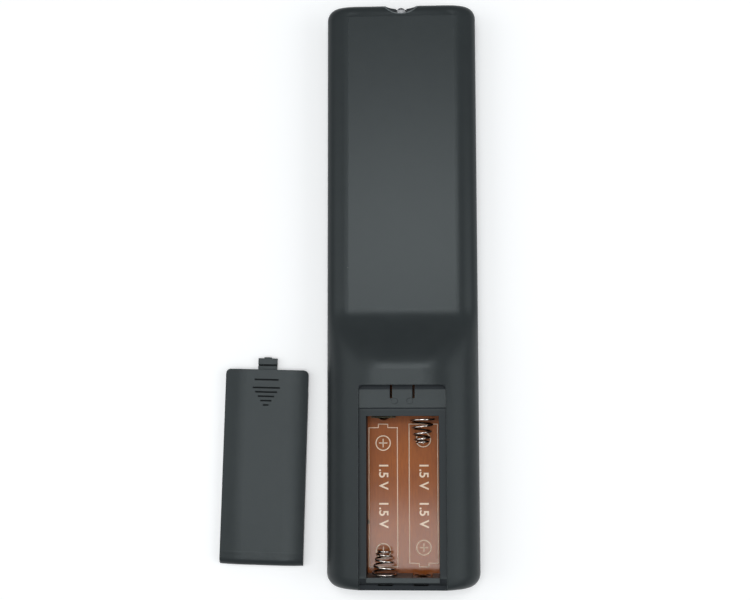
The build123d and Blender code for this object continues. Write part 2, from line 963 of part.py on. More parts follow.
def resistor_leads():
    """Leads from both ends of every resistor down to the board."""
    z = board_top + part_lift + resistor_radius
    leads = []
    for index in range(resistor_count):
        y = parts_row(2) - index * resistor_pitch
        for side in (-1, 1):
            end = part_across + side * resistor_length / 2
            out = end + side * resistor_lead_reach
            points = [(end, y, z), (out, y, z), (out, y, board_top)]
            leads.append(wire(points, part_lead, part_bend / 2))
    return group(leads)


def controller_blob():
    """Black resin dome over the controller chip, on the board's key side."""
    ball = (blob_radius**2 + blob_height**2) / (2 * blob_height)
    y = mat_foot() - blob_below_mat
    dome = Pos(0, y, board_low - blob_height + ball) * Sphere(ball)
    return dome & block(-ball, ball, y - ball, y + ball, 0, board_low)


# Write every piece

def pieces():
    """Every named piece of the remote."""
    made = {
        "rear_casing": rear_casing(),
        "front_casing": front_casing(),
        "battery_cover": battery_cover(),
        "circuit_board": circuit_board(),
        "key_mat": key_mat(),
        "key_webs": key_webs(),
        "left_battery_spring": battery_spring(1),
        "right_battery_spring": battery_spring(-1),
        "infrared_emitter": infrared_emitter(),
        "emitter_leads": emitter_leads(),
        "controller_blob": controller_blob(),
        "ceramic_resonator": ceramic_resonator(),
        "smoothing_capacitor": smoothing_capacitor(),
        "driver_transistor": driver_transistor(),
        "resistors": resistors(),
        "resistor_leads": resistor_leads(),
        "ceramic_capacitors": ceramic_capacitors(),
        "wire_jumpers": wire_jumpers(),
    }
    for name, face in zip(("head_contact", "foot_contact"), contact_faces()):
        made[name] = positive_contact(*face)
    for name, (kind, x, y) in key_places().items():
        made[name] = key(kind, x, y)
    return made


os.makedirs("parts", exist_ok=True)
for name, shape in pieces().items():
    export_step(shape, f"parts/{name}.step")
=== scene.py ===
import json
from math import cos, pi, radians, sin

import bpy
from mathutils import Euler, Matrix, Vector


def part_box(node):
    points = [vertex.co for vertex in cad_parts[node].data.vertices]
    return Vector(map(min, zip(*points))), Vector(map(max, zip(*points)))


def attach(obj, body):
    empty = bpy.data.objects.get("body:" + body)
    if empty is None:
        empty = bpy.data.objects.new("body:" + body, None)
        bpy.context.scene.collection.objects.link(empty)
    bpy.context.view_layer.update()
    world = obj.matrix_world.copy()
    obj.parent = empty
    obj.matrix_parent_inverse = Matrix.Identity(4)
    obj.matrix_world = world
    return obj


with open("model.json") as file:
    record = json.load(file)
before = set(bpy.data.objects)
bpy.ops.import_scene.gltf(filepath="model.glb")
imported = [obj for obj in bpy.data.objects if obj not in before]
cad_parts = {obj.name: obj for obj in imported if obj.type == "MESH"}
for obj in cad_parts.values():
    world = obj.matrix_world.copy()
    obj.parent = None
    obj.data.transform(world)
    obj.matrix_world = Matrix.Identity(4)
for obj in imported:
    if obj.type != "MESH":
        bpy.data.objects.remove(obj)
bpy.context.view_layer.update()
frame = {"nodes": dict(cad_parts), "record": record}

# Casing: two shells of charcoal ABS that snap together round the edge, and the battery cover.
# Spark erosion of the mould leaves a fine satin grain outside. The inserts that form the bay with
# its ledge and the notch are left coarse, and are darker there as painted shade. Painted shadow lines
# lie along the shelf's step and the recess's head wall, a painted highlight rims the notch, and the
# cover's grooves are painted dark as shade.

MM = 0.001
CASING_COLOUR = (39, 43, 44)
CASING_CLOUD_COLOUR = (46, 50, 51)
CASING_WORN_COLOUR = (84, 89, 90)
# Darker colour of the coarse inserts: painted shade in the bay, on its ledge and foot lip and in the
# notch's dish; it also paints the shadow lines.
INSERT_SHADE_COLOUR = (32, 35, 39)
# Painted shade in the cover's grooves.
GROOVE_SHADE_COLOUR = (24, 26, 27)
DUST_COLOUR = (205, 205, 200)
CASING_SPECULAR = 0.25
CASING_SPECULAR_TINT = (0.88, 0.98, 1.0, 1.0)
CASING_ROUGHNESS = (0.31, 0.35)
INSERT_ROUGHNESS = 0.62
GROOVE_ROUGHNESS = 0.9
WORN_SHARE = 0.35
WORN_PATCH_SCALE = 260.0
GRAIN_SIZE = 0.30 * MM
CLOUD_SIZE = 7.0 * MM
EDGE_RADIUS = 0.22 * MM
LEDGE_WIDTH = 2.25 * MM
# The bay's painted shade reaches this far past the ledge on each side.
LEDGE_REACH = 1.2 * MM
SHELF_FOOT = 4.45 * MM
LEDGE_RISE = 10.2 * MM
RECESS_HEAD = 11.6 * MM
# Width of a painted shadow band along the recess's head wall.
SHADOW_STRIP = 1.45 * MM
# Width of a painted shadow line along the shelf's step, and how high it reaches.
STEP_SHADOW = 0.36 * MM
LEDGE_SOFTNESS = 0.08
MASK_SOFTNESS = 0.001
STEP_SHADOW_RISE = 1.0 * MM
STRIP_BELOW_BACK = 0.1 * MM
LIP_LENGTH = 7.0 * MM
LIP_DEPTH = 1.2 * MM
TONGUE_HALF_WIDTH = 4.0 * MM
TONGUE_LENGTH = 4.05 * MM
TONGUE_GROOVE = (1.20 * MM, 1.70 * MM)
GRIP_HALF_WIDTH = 6.0 * MM
GRIP_GROOVES = (2.9 * MM, 12.2 * MM)
GRIP_DEPTHS = (0.12 * MM, 0.50 * MM)
NOTCH_RADIUS = 7.06 * MM
NOTCH_OUT = 4.01 * MM
NOTCH_RISE = 7.68 * MM
# Width and colour of a painted highlight round the notch's rim.
NOTCH_HIGHLIGHT_WIDTH = 0.26 * MM
NOTCH_HIGHLIGHT_COLOUR = (104, 109, 110)


def paint(red, green, blue):
    """A colour read as 0 to 255 off a screen, as the linear colour that shaders take."""
    return (*(((part / 255 + 0.055) / 1.055) ** 2.4 for part in (red, green, blue)), 1.0)


def wire(tree, kind, inputs=None, **settings):
    """A node with its settings, whose inputs are set to values or fed by other sockets."""
    made = tree.nodes.new(kind)
    for name, value in settings.items():
        setattr(made, name, value)
    for name, value in (inputs or {}).items():
        if isinstance(value, bpy.types.NodeSocket):
            tree.links.new(value, made.inputs[name])
        else:
            made.inputs[name].default_value = value
    return made


def node_group(name, kind, takes, gives):
    """An empty node group with named sockets, and the nodes that stand for its two ends."""
    tree = bpy.data.node_groups.new(name, kind)
    for socket_name, socket_kind, value in takes:
        socket = tree.interface.new_socket(socket_name, in_out="INPUT", socket_type=socket_kind)
        if value is not None:
            socket.default_value = value
    for socket_name, socket_kind in gives:
        tree.interface.new_socket(socket_name, in_out="OUTPUT", socket_type=socket_kind)
    return tree, tree.nodes.new("NodeGroupInput").outputs, tree.nodes.new("NodeGroupOutput")


def per_metre(tree, size):
    """A texture scale that gives features of that size."""
    return wire(tree, "ShaderNodeMath", {0: 1.0, 1: size}, operation="DIVIDE").outputs[0]


def spark_grain_group():
    """Fine matte grain of a spark-eroded mould, and slow cloudy differences over it."""
    tree, taken, given = node_group(
        "spark_grain", "ShaderNodeTree",
        [("Grain Size", "NodeSocketFloat", GRAIN_SIZE), ("Cloud Size", "NodeSocketFloat", CLOUD_SIZE)],
        [("Height", "NodeSocketFloat"), ("Clouds", "NodeSocketFloat")],
    )
    place = wire(tree, "ShaderNodeTexCoord").outputs["Object"]
    fine = per_metre(tree, taken["Grain Size"])
    pits = wire(tree, "ShaderNodeTexVoronoi", {"Vector": place, "Scale": fine}, feature="SMOOTH_F1")
    grit = wire(tree, "ShaderNodeTexNoise", {"Vector": place, "Scale": fine, "Detail": 3.0})
    height = wire(tree, "ShaderNodeMath", {0: pits.outputs["Distance"], 1: grit.outputs[0]},
                  operation="ADD")
    clouds = wire(tree, "ShaderNodeTexNoise", {
        "Vector": place, "Scale": per_metre(tree, taken["Cloud Size"]), "Detail": 5.0,
        "Roughness": 0.62,
    })
    tree.links.new(height.outputs[0], given.inputs["Height"])
    tree.links.new(clouds.outputs[0], given.inputs["Clouds"])
    return tree


def edge_wear_group():
    """Normal of edges rounded to a small radius, and a mask of where handling polishes them."""
    tree, taken, given = node_group(
        "edge_wear", "ShaderNodeTree",
        [("Radius", "NodeSocketFloat", EDGE_RADIUS)],
        [("Normal", "NodeSocketVector"), ("Wear", "NodeSocketFloat")],
    )
    rounded = wire(tree, "ShaderNodeBevel", {"Radius": taken["Radius"]}, samples=6)
    flat = wire(tree, "ShaderNodeNewGeometry")
    agree = wire(tree, "ShaderNodeVectorMath", {
        0: rounded.outputs["Normal"], 1: flat.outputs["Normal"],
    }, operation="DOT_PRODUCT")
    edge = wire(tree, "ShaderNodeMapRange", {
        "Value": agree.outputs["Value"], "From Min": 0.995, "From Max": 0.90,
    })
    place = wire(tree, "ShaderNodeTexCoord").outputs["Object"]
    patches = wire(tree, "ShaderNodeTexNoise", {
        "Vector": place, "Scale": WORN_PATCH_SCALE, "Detail": 3.0,
    })
    patchy = wire(tree, "ShaderNodeMapRange", {
        "Value": patches.outputs[0], "From Min": 0.40, "From Max": 0.62,
    })
    wear = wire(tree, "ShaderNodeMath", {0: edge.outputs[0], 1: patchy.outputs[0]},
                operation="MULTIPLY")
    tree.links.new(rounded.outputs["Normal"], given.inputs["Normal"])
    tree.links.new(wear.outputs[0], given.inputs["Wear"])
    return tree


def dust_group():
    """Mask of a few specks of dust, each in a cell of its own."""
    tree, taken, given = node_group(
        "dust", "ShaderNodeTree",
        [("Spacing", "NodeSocketFloat", 9.0 * MM), ("Speck Radius", "NodeSocketFloat", 0.11 * MM),
         ("Share", "NodeSocketFloat", 0.12)],
        [("Dust", "NodeSocketFloat")],
    )
    place = wire(tree, "ShaderNodeTexCoord").outputs["Object"]
    cells = wire(tree, "ShaderNodeTexVoronoi", {
        "Vector": place, "Scale": per_metre(tree, taken["Spacing"]),
    })
    radius = wire(tree, "ShaderNodeMath", {0: taken["Speck Radius"], 1: taken["Spacing"]},
                  operation="DIVIDE")
    inside = wire(tree, "ShaderNodeMath", {0: cells.outputs["Distance"], 1: radius.outputs[0]},
                  operation="LESS_THAN")
    draw = wire(tree, "ShaderNodeSeparateColor", {"Color": cells.outputs["Color"]})
    chosen = wire(tree, "ShaderNodeMath", {0: draw.outputs[0], 1: taken["Share"]},
                  operation="LESS_THAN")
    dust = wire(tree, "ShaderNodeMath", {0: inside.outputs[0], 1: chosen.outputs[0]},
                operation="MULTIPLY")
    tree.links.new(dust.outputs[0], given.inputs["Dust"])
    return tree


SPARK_GRAIN = spark_grain_group()
EDGE_WEAR = edge_wear_group()
DUST = dust_group()


def new_material(name, **constants):
    """A material, its node tree and its Principled shader, with what is the same all over."""
    material = bpy.data.materials.new(name)
    material.use_nodes = True
    shader = material.node_tree.nodes["Principled BSDF"]
    for socket, value in constants.items():
        shader.inputs[socket.replace("_", " ")].default_value = value
    return material, material.node_tree, shader


def blend_colour(tree, share, first, second):
    """A colour that goes from the first to the second as share goes from 0 to 1."""
    return wire(tree, "ShaderNodeMix", {0: share, 6: first, 7: second}, data_type="RGBA").outputs[2]


def map_value(tree, value, low, high):
    """A value from 0 to 1, mapped to between low and high."""
    return wire(tree, "ShaderNodeMapRange", {"Value": value, "To Min": low, "To Max": high}).outputs[0]


def inside_box(tree, low, high, soft=MASK_SOFTNESS):
    """Mask that is 1 between two corners and 0 elsewhere, with a rim that is soft by that share."""
    place = wire(tree, "ShaderNodeTexCoord").outputs["Object"]
    middle, half = (high + low) / 2, (high - low) / 2
    away = wire(tree, "ShaderNodeVectorMath", {0: place, 1: middle}, operation="SUBTRACT")
    share = wire(tree, "ShaderNodeVectorMath", {0: away.outputs[0], 1: half}, operation="DIVIDE")
    size = wire(tree, "ShaderNodeVectorMath", {0: share.outputs[0]}, operation="ABSOLUTE")
    axes = wire(tree, "ShaderNodeSeparateXYZ", {0: size.outputs[0]}).outputs
    flat = wire(tree, "ShaderNodeMath", {0: axes["X"], 1: axes["Y"]}, operation="MAXIMUM")
    most = wire(tree, "ShaderNodeMath", {0: flat.outputs[0], 1: axes["Z"]}, operation="MAXIMUM")
    return wire(tree, "ShaderNodeMapRange", {
        "Value": most.outputs[0], "From Min": 1.0, "From Max": 1.0 - soft,
    }).outputs[0]


def inside_ball(tree, centre, radius):
    """Mask that is 1 within a ball and 0 elsewhere."""
    place = wire(tree, "ShaderNodeTexCoord").outputs["Object"]
    away = wire(tree, "ShaderNodeVectorMath", {0: place, 1: centre}, operation="DISTANCE")
    return wire(tree, "ShaderNodeMath", {0: away.outputs["Value"], 1: radius},
                operation="LESS_THAN").outputs[0]


def coarse_and_shade_mask(tree):
    """Mask of the bay, its ledge and foot lip, darkened as painted shade, and of painted shadow along
    the shelf's two edges.
    """
    cells = [opening["box_m"] for opening in frame["record"]["physics"]["openings"]]
    across = max(high[0] for low, high in cells) + LEDGE_WIDTH
    foot = min(low[1] for low, high in cells) - LEDGE_WIDTH / 2
    head = max(high[1] for low, high in cells)
    step = head + SHELF_FOOT
    end = head + RECESS_HEAD
    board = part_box("circuit_board")[1].z
    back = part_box("rear_casing")[1].z
    ledge = board + LEDGE_RISE
    mask = 0.0
    for low_corner, high_corner, soft in (
        # Bay, ledge and foot lip, darkened as painted shade.
        ((-across - LEDGE_REACH, foot, board), (across + LEDGE_REACH, step, ledge), LEDGE_SOFTNESS),
        ((-across, foot - LIP_LENGTH, ledge - LIP_DEPTH), (across, foot, ledge), MASK_SOFTNESS),
        # Painted shadow line along the shelf's step.
        ((-across, step - STEP_SHADOW, board), (across, step, ledge + STEP_SHADOW_RISE), MASK_SOFTNESS),
        # Painted shadow band along the recess's head wall.
        ((-across, end - SHADOW_STRIP, ledge), (across, end, back - STRIP_BELOW_BACK), MASK_SOFTNESS),
    ):
        box = inside_box(tree, Vector(low_corner), Vector(high_corner), soft)
        mask = wire(tree, "ShaderNodeMath", {0: mask, 1: box}, operation="MAXIMUM").outputs[0]
    return mask


def groove_shade_mask(tree):
    """Mask of painted shade in the cover's grip grooves and in the groove across its tongue."""
    low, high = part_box("battery_cover")
    middle = (low.x + high.x) / 2
    edge = high.y - TONGUE_LENGTH
    grips = inside_box(
        tree, Vector((middle - GRIP_HALF_WIDTH, edge - GRIP_GROOVES[1], high.z - GRIP_DEPTHS[1])),
        Vector((middle + GRIP_HALF_WIDTH, edge - GRIP_GROOVES[0], high.z - GRIP_DEPTHS[0])),
    )
    groove = inside_box(
        tree, Vector((middle - TONGUE_HALF_WIDTH, edge + TONGUE_GROOVE[0], low.z)),
        Vector((middle + TONGUE_HALF_WIDTH, edge + TONGUE_GROOVE[1], high.z)),
    )
    return wire(tree, "ShaderNodeMath", {0: grips, 1: groove}, operation="MAXIMUM").outputs[0]


def notch_masks(tree):
    """Mask of the dished notch, darkened as painted shade, and one of a thin painted highlight round it.
    """
    centre = Vector((0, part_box("rear_casing")[1].y + NOTCH_OUT,
                     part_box("circuit_board")[1].z + NOTCH_RISE))
    dish = inside_ball(tree, centre, NOTCH_RADIUS)
    wide = inside_ball(tree, centre, NOTCH_RADIUS + NOTCH_HIGHLIGHT_WIDTH)
    return dish, wire(tree, "ShaderNodeMath", {0: wide, 1: dish}, operation="SUBTRACT").outputs[0]


def charcoal_abs():
    """Satin charcoal ABS, duller where the mould is coarse, with worn edges, a little dust, painted
    shade and shadow, and a painted highlight.
    """
    material, tree, shader = new_material(
        "charcoal_abs", Specular_IOR_Level=CASING_SPECULAR, Specular_Tint=CASING_SPECULAR_TINT,
    )
    grain = wire(tree, "ShaderNodeGroup", node_tree=SPARK_GRAIN).outputs
    wear = wire(tree, "ShaderNodeGroup", node_tree=EDGE_WEAR).outputs
    dust = wire(tree, "ShaderNodeGroup", node_tree=DUST).outputs
    # The notch's dish is darkened as painted shade, and its rim carries a painted highlight.
    dish, rim = notch_masks(tree)
    groove_shade = groove_shade_mask(tree)
    coarse_and_shade = wire(tree, "ShaderNodeMath", {0: coarse_and_shade_mask(tree), 1: dish},
                  operation="MAXIMUM").outputs[0]
    outside = blend_colour(tree, grain["Clouds"], paint(*CASING_COLOUR), paint(*CASING_CLOUD_COLOUR))
    # The coarse inserts' darker colour: painted shade, and the painted shadow lines.
    colour = blend_colour(tree, coarse_and_shade, outside, paint(*INSERT_SHADE_COLOUR))
    colour = blend_colour(tree, map_value(tree, wear["Wear"], 0.0, WORN_SHARE), colour,
                          paint(*CASING_WORN_COLOUR))
    # Painted highlight round the notch's rim.
    colour = blend_colour(tree, rim, colour, paint(*NOTCH_HIGHLIGHT_COLOUR))
    # Painted shade in the cover's grooves.
    colour = blend_colour(tree, groove_shade, colour, paint(*GROOVE_SHADE_COLOUR))
    colour = blend_colour(tree, dust["Dust"], colour, paint(*DUST_COLOUR))
    rough = map_value(tree, grain["Clouds"], *CASING_ROUGHNESS)
    rough = wire(tree, "ShaderNodeMix", {0: coarse_and_shade, 2: rough, 3: INSERT_ROUGHNESS}).outputs[0]
    rough = wire(tree, "ShaderNodeMix", {0: groove_shade, 2: rough, 3: GROOVE_ROUGHNESS}).outputs[0]
    bump = wire(tree, "ShaderNodeBump", {
        "Height": grain["Height"], "Strength": 0.25, "Distance": 0.03 * MM,
        "Normal": wear["Normal"],
    })
    tree.links.new(colour, shader.inputs["Base Color"])
    tree.links.new(rough, shader.inputs["Roughness"])
    tree.links.new(bump.outputs[0], shader.inputs["Normal"])
    return material


def finish_node(name, material):
    """The CAD node keeps its shape and takes the material."""
    slots = frame["nodes"][name].data.materials
    slots.clear()
    slots.append(material)


CHARCOAL = charcoal_abs()
for shell in ("rear_casing", "front_casing", "battery_cover"):
    finish_node(shell, CHARCOAL)

# Keypad: one silicone moulding with a cap for every key, a thin web round each and a base sheet.
# The caps are tinted in the mould and lie in the holes of the front shell. A pill of carbon
# rubber behind each cap closes its contact on the board.

CAP_COLOURS = {
    "grey": (104, 107, 110), "red": (158, 40, 36), "green": (42, 116, 60),
    "yellow": (198, 158, 44), "blue": (40, 70, 138),
}
CARBON_COLOUR = (30, 30, 32)
PILL_HEIGHT = 3.95 * MM


def silicone(name, colour):
    """Soft matte silicone, tinted through, with its carbon pill at the back."""
    material, tree, shader = new_material(
        name, Specular_IOR_Level=0.4, Sheen_Weight=0.12, Sheen_Roughness=0.5,
        Subsurface_Weight=0.04, Subsurface_Scale=0.4 * MM,
    )
    grain = wire(tree, "ShaderNodeGroup", {"Grain Size": 0.16 * MM, "Cloud Size": 3.0 * MM},
                 node_tree=SPARK_GRAIN).outputs
    tint = paint(*colour)
    deep = (*(0.78 * part for part in tint[:3]), 1.0)
    place = wire(tree, "ShaderNodeTexCoord").outputs["Object"]
    height = wire(tree, "ShaderNodeSeparateXYZ", {0: place}).outputs["Z"]
    pill = wire(tree, "ShaderNodeMath", {0: height, 1: PILL_HEIGHT}, operation="GREATER_THAN")
    body = blend_colour(tree, grain["Clouds"], deep, tint)
    colour = blend_colour(tree, pill.outputs[0], body, paint(*CARBON_COLOUR))
    bump = wire(tree, "ShaderNodeBump", {
        "Height": grain["Height"], "Strength": 0.25, "Distance": 0.015 * MM,
    })
    tree.links.new(colour, shader.inputs["Base Color"])
    tree.links.new(map_value(tree, grain["Clouds"], 0.46, 0.58), shader.inputs["Roughness"])
    tree.links.new(bump.outputs[0], shader.inputs["Normal"])
    return material


SILICONES = {name: silicone("silicone_" + name, colour) for name, colour in CAP_COLOURS.items()}
KEYS = [name for name in frame["nodes"] if name.startswith("key_")]
for key in KEYS:
    finish_node(key, SILICONES.get(key.removeprefix("key_"), SILICONES["grey"]))

# Legends on the keys: plain numbers and the usual signs in white ink, screen printed on each cap.
# A line of print follows its path with one width and a hair's thickness of ink.

INK_COLOUR = (226, 226, 220)
INK_THICKNESS = 0.02 * MM
LEGEND_LINE = 0.26 * MM
BOARD_GLOSS = 0.5
BOARD_GLOSS_ROUGHNESS = 0.12
DIGIT_SIZE = 3.6 * MM


def ink(name, colour, gloss=0.0):
    """Screen ink, thinner here and there, matte or under a gloss coat."""
    material, tree, shader = new_material(
        name, Roughness=0.55, Coat_Weight=gloss, Coat_Roughness=BOARD_GLOSS_ROUGHNESS,
    )
    grain = wire(tree, "ShaderNodeGroup", {"Grain Size": 0.10 * MM, "Cloud Size": 0.6 * MM},
                 node_tree=SPARK_GRAIN).outputs
    full = paint(*colour)
    thin = (*(0.80 * part for part in full[:3]), 1.0)
    tree.links.new(blend_colour(tree, grain["Clouds"], thin, full), shader.inputs["Base Color"])
    bump = wire(tree, "ShaderNodeBump", {
        "Height": grain["Height"], "Strength": 0.2, "Distance": 0.01 * MM,
    })
    tree.links.new(bump.outputs[0], shader.inputs["Normal"])
    return material


def printed_line_tree():
    """Geometry nodes that lay a line of ink along every path."""
    tree, taken, given = node_group(
        "printed_line", "GeometryNodeTree",
        [("Geometry", "NodeSocketGeometry", None), ("Line Width", "NodeSocketFloat", LEGEND_LINE),
         ("Ink Thickness", "NodeSocketFloat", INK_THICKNESS), ("Ink", "NodeSocketMaterial", None)],
        [("Geometry", "NodeSocketGeometry")],
    )
    level = wire(tree, "GeometryNodeSetCurveNormal", {"Curve": taken["Geometry"]}, mode="Z_UP")
    section = wire(tree, "GeometryNodeCurvePrimitiveQuadrilateral", {
        "Width": taken["Line Width"], "Height": taken["Ink Thickness"],
    })
    line = wire(tree, "GeometryNodeCurveToMesh", {
        "Curve": level.outputs[0], "Profile Curve": section.outputs[0], "Fill Caps": True,
    })
    real = wire(tree, "GeometryNodeRealizeInstances", {"Geometry": line.outputs[0]})
    inked = wire(tree, "GeometryNodeSetMaterial", {
        "Geometry": real.outputs[0], "Material": taken["Ink"],
    })
    tree.links.new(inked.outputs[0], given.inputs[0])
    return tree


PRINTED_LINE = printed_line_tree()
KEY_INK = ink("key_ink", INK_COLOUR)


def set_inputs(modifier, values):
    """Sets a geometry nodes modifier's inputs, named as on the tree, by their identifiers."""
    for item in modifier.node_group.interface.items_tree:
        if item.in_out == "INPUT" and item.name in values:
            modifier[item.identifier] = values[item.name]


def printed_lines(paths, width, colour):
    """A mesh of printed lines along paths of flat points."""
    curve = bpy.data.curves.new("paths", "CURVE")
    curve.dimensions = "3D"
    for path in paths:
        closed = path[0] == path[-1]
        points = path[:-1] if closed else path
        spline = curve.splines.new("POLY")
        spline.points.add(len(points) - 1)
        for point, (x, y) in zip(spline.points, points):
            point.co = (x, y, 0.0, 1.0)
        spline.use_cyclic_u = closed
    holder = bpy.data.objects.new("paths", curve)
    bpy.context.scene.collection.objects.link(holder)
    modifier = holder.modifiers.new("printed_line", "NODES")
    modifier.node_group = PRINTED_LINE
    set_inputs(modifier, {"Line Width": width, "Ink Thickness": INK_THICKNESS, "Ink": colour})
    mesh = baked(holder)
    bpy.data.objects.remove(holder)
    return mesh


def baked(holder):
    """The plain mesh that an object gives once its modifiers have run."""
    graph = bpy.context.evaluated_depsgraph_get()
    return bpy.data.meshes.new_from_object(holder.evaluated_get(graph), depsgraph=graph)


def printed_text(text, size, colour, weight=0.0):
    """A mesh of printed characters, centred, each stroke made bolder all round by a weight."""
    curve = bpy.data.curves.new("characters", "FONT")
    curve.body = text
    curve.size = size
    curve.align_x = "CENTER"
    curve.align_y = "CENTER"
    curve.extrude = INK_THICKNESS / 2
    curve.offset = weight
    curve.materials.append(colour)
    holder = bpy.data.objects.new("characters", curve)
    bpy.context.scene.collection.objects.link(holder)
    mesh = baked(holder)
    bpy.data.objects.remove(holder)
    return mesh


def piece(name, mesh, body, place=Matrix()):
    """A piece of the scene with its place in its mesh, riding on a body."""
    mesh.transform(place)
    made = bpy.data.objects.new(name, mesh)
    bpy.context.scene.collection.objects.link(made)
    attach(made, body)
    return made


def arc(x, y, radius, start=0, turn=360):
    """Points of an arc, one every 15 degrees, from start degrees round by turn degrees."""
    steps = max(2, round(abs(turn) / 15))
    angles = [radians(start + turn * step / steps) for step in range(steps + 1)]
    points = [(x + radius * cos(angle), y + radius * sin(angle)) for angle in angles]
    return points[:-1] + [points[0]] if abs(turn) == 360 else points


def in_mm(paths):
    """Paths written in millimetres, in metres."""
    return [[(x * MM, y * MM) for x, y in path] for path in paths]


def triangle(x, toward):
    """A play triangle that points left or right."""
    tip = x + 0.9 * toward
    back = x - 0.6 * toward
    return [(back, 1.0), (tip, 0.0), (back, -1.0), (back, 1.0)]


SIGNS = {
    "power": [arc(0, 0, 1.25, 125, 290), [(0, 0.2), (0, 1.7)]],
    "mute": [[(-1.7, -0.5), (-1.1, -0.5), (-0.3, -1.2), (-0.3, 1.2), (-1.1, 0.5), (-1.7, 0.5),
              (-1.7, -0.5)], [(0.4, -0.6), (1.6, 0.6)], [(0.4, 0.6), (1.6, -0.6)]],
    "info": [arc(0, 0, 1.5), [(0, -0.8), (0, 0.3)], [(0, 0.7), (0, 0.9)]],
    "guide": [[(-1.8, -1.2), (1.8, -1.2), (1.8, 1.2), (-1.8, 1.2), (-1.8, -1.2)],
              [(-1.8, 0.4), (1.8, 0.4)], [(-0.6, -1.2), (-0.6, 1.2)]],
    "volume_up": [[(-1.3, 0), (1.3, 0)], [(0, -1.3), (0, 1.3)]],
    "volume_down": [[(-1.3, 0), (1.3, 0)]],
    "channel_up": [[(-1.4, -0.6), (0, 0.8), (1.4, -0.6)]],
    "channel_down": [[(-1.4, 0.6), (0, -0.8), (1.4, 0.6)]],
    "menu": [[(-1.5, y), (1.5, y)] for y in (-0.9, 0, 0.9)],
    "return": [[(-0.5, 1.7), (-1.4, 0.9), (-0.5, 0.1)],
               [(-1.4, 0.9), *arc(0.6, -0.1, 1.0, 90, -180), (-0.9, -1.1)]],
    "up": [[(-1.3, -0.6), (0, 0.8), (1.3, -0.6), (-1.3, -0.6)]],
    "down": [[(-1.3, 0.6), (0, -0.8), (1.3, 0.6), (-1.3, 0.6)]],
    "left": [[(0.6, 1.3), (-0.8, 0), (0.6, -1.3), (0.6, 1.3)]],
    "right": [[(-0.6, 1.3), (0.8, 0), (-0.6, -1.3), (-0.6, 1.3)]],
    "ok": [arc(0, 0, 1.0)],
    "rewind": [triangle(-0.8, -1), triangle(0.8, -1)],
    "play": [triangle(0, 1)],
    "stop": [[(-0.9, -0.9), (0.9, -0.9), (0.9, 0.9), (-0.9, 0.9), (-0.9, -0.9)]],
    "forward": [triangle(-0.8, 1), triangle(0.8, 1)],
}
for key in KEYS:
    label = key.removeprefix("key_")
    if label.isdigit():
        legend = printed_text(label, DIGIT_SIZE, KEY_INK)
    elif label in SIGNS:
        legend = printed_lines(in_mm(SIGNS[label]), LEGEND_LINE, KEY_INK)
    else:
        continue
    low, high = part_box(key)
    on_cap = Matrix.Translation(((low.x + high.x) / 2, (low.y + high.y) / 2, low.z))
    piece("legend_" + label, legend, key, on_cap @ Matrix.Rotation(pi, 4, "Y"))

# Circuit board: one-sided phenolic paper board, brown and glossy, which is the battery bay's
# floor. The maker's print on it shows how the cells go in.

BOARD_COLOUR = (166, 90, 28)
BOARD_FIBRE_COLOUR = (138, 70, 22)
FIBRE_SCALE = 1900.0
FIBRE_STRETCH = (1.0, 0.12, 1.0)
PRINT_COLOUR = (255, 230, 202)
CELL_PRINT_LENGTH = 44.9 * MM
CELL_PRINT_WIDTH = 9.1 * MM
CELL_PRINT_OUTWARD = 0.42 * MM
CELL_PRINT_HEAD = -42.40 * MM
NUB_WIDTH = 3.0 * MM
NUB_LENGTH = 1.12 * MM
SIGN_RADIUS = 2.3 * MM
SIGN_ARM = 1.35 * MM
PLUS_FROM_NUB = 6.0 * MM
MINUS_FROM_BACK = 4.95 * MM
BOARD_LINE = 0.34 * MM
BOARD_TEXT_SIZE = 4.1 * MM
BOARD_TEXT_WEIGHT = 0.07 * MM
CELL_TEXT = "1.5 V   1.5 V"


def phenolic():
    """Brown phenolic paper under a glossy resin face, with faint fibres along the board."""
    material, tree, shader = new_material(
        "phenolic_paper", Specular_IOR_Level=0.1, Coat_Weight=BOARD_GLOSS,
        Coat_Roughness=BOARD_GLOSS_ROUGHNESS,
    )
    grain = wire(tree, "ShaderNodeGroup", {"Grain Size": 0.35 * MM, "Cloud Size": 16.0 * MM},
                 node_tree=SPARK_GRAIN).outputs
    place = wire(tree, "ShaderNodeTexCoord").outputs["Object"]
    drawn = wire(tree, "ShaderNodeMapping", {"Vector": place, "Scale": FIBRE_STRETCH})
    fibre = wire(tree, "ShaderNodeTexNoise", {
        "Vector": drawn.outputs[0], "Scale": FIBRE_SCALE, "Detail": 4.0, "Roughness": 0.7,
    })
    mixed = wire(tree, "ShaderNodeMath", {0: fibre.outputs[0], 1: grain["Clouds"]},
                 operation="MULTIPLY")
    share = wire(tree, "ShaderNodeMapRange", {
        "Value": mixed.outputs[0], "From Min": 0.12, "From Max": 0.42,
    })
    colour = blend_colour(tree, share.outputs[0], paint(*BOARD_FIBRE_COLOUR), paint(*BOARD_COLOUR))
    bump = wire(tree, "ShaderNodeBump", {
        "Height": fibre.outputs[0], "Strength": 0.10, "Distance": 0.02 * MM,
    })
    tree.links.new(colour, shader.inputs["Base Color"])
    tree.links.new(map_value(tree, grain["Clouds"], 0.30, 0.42), shader.inputs["Roughness"])
    tree.links.new(bump.outputs[0], shader.inputs["Normal"])
    return material


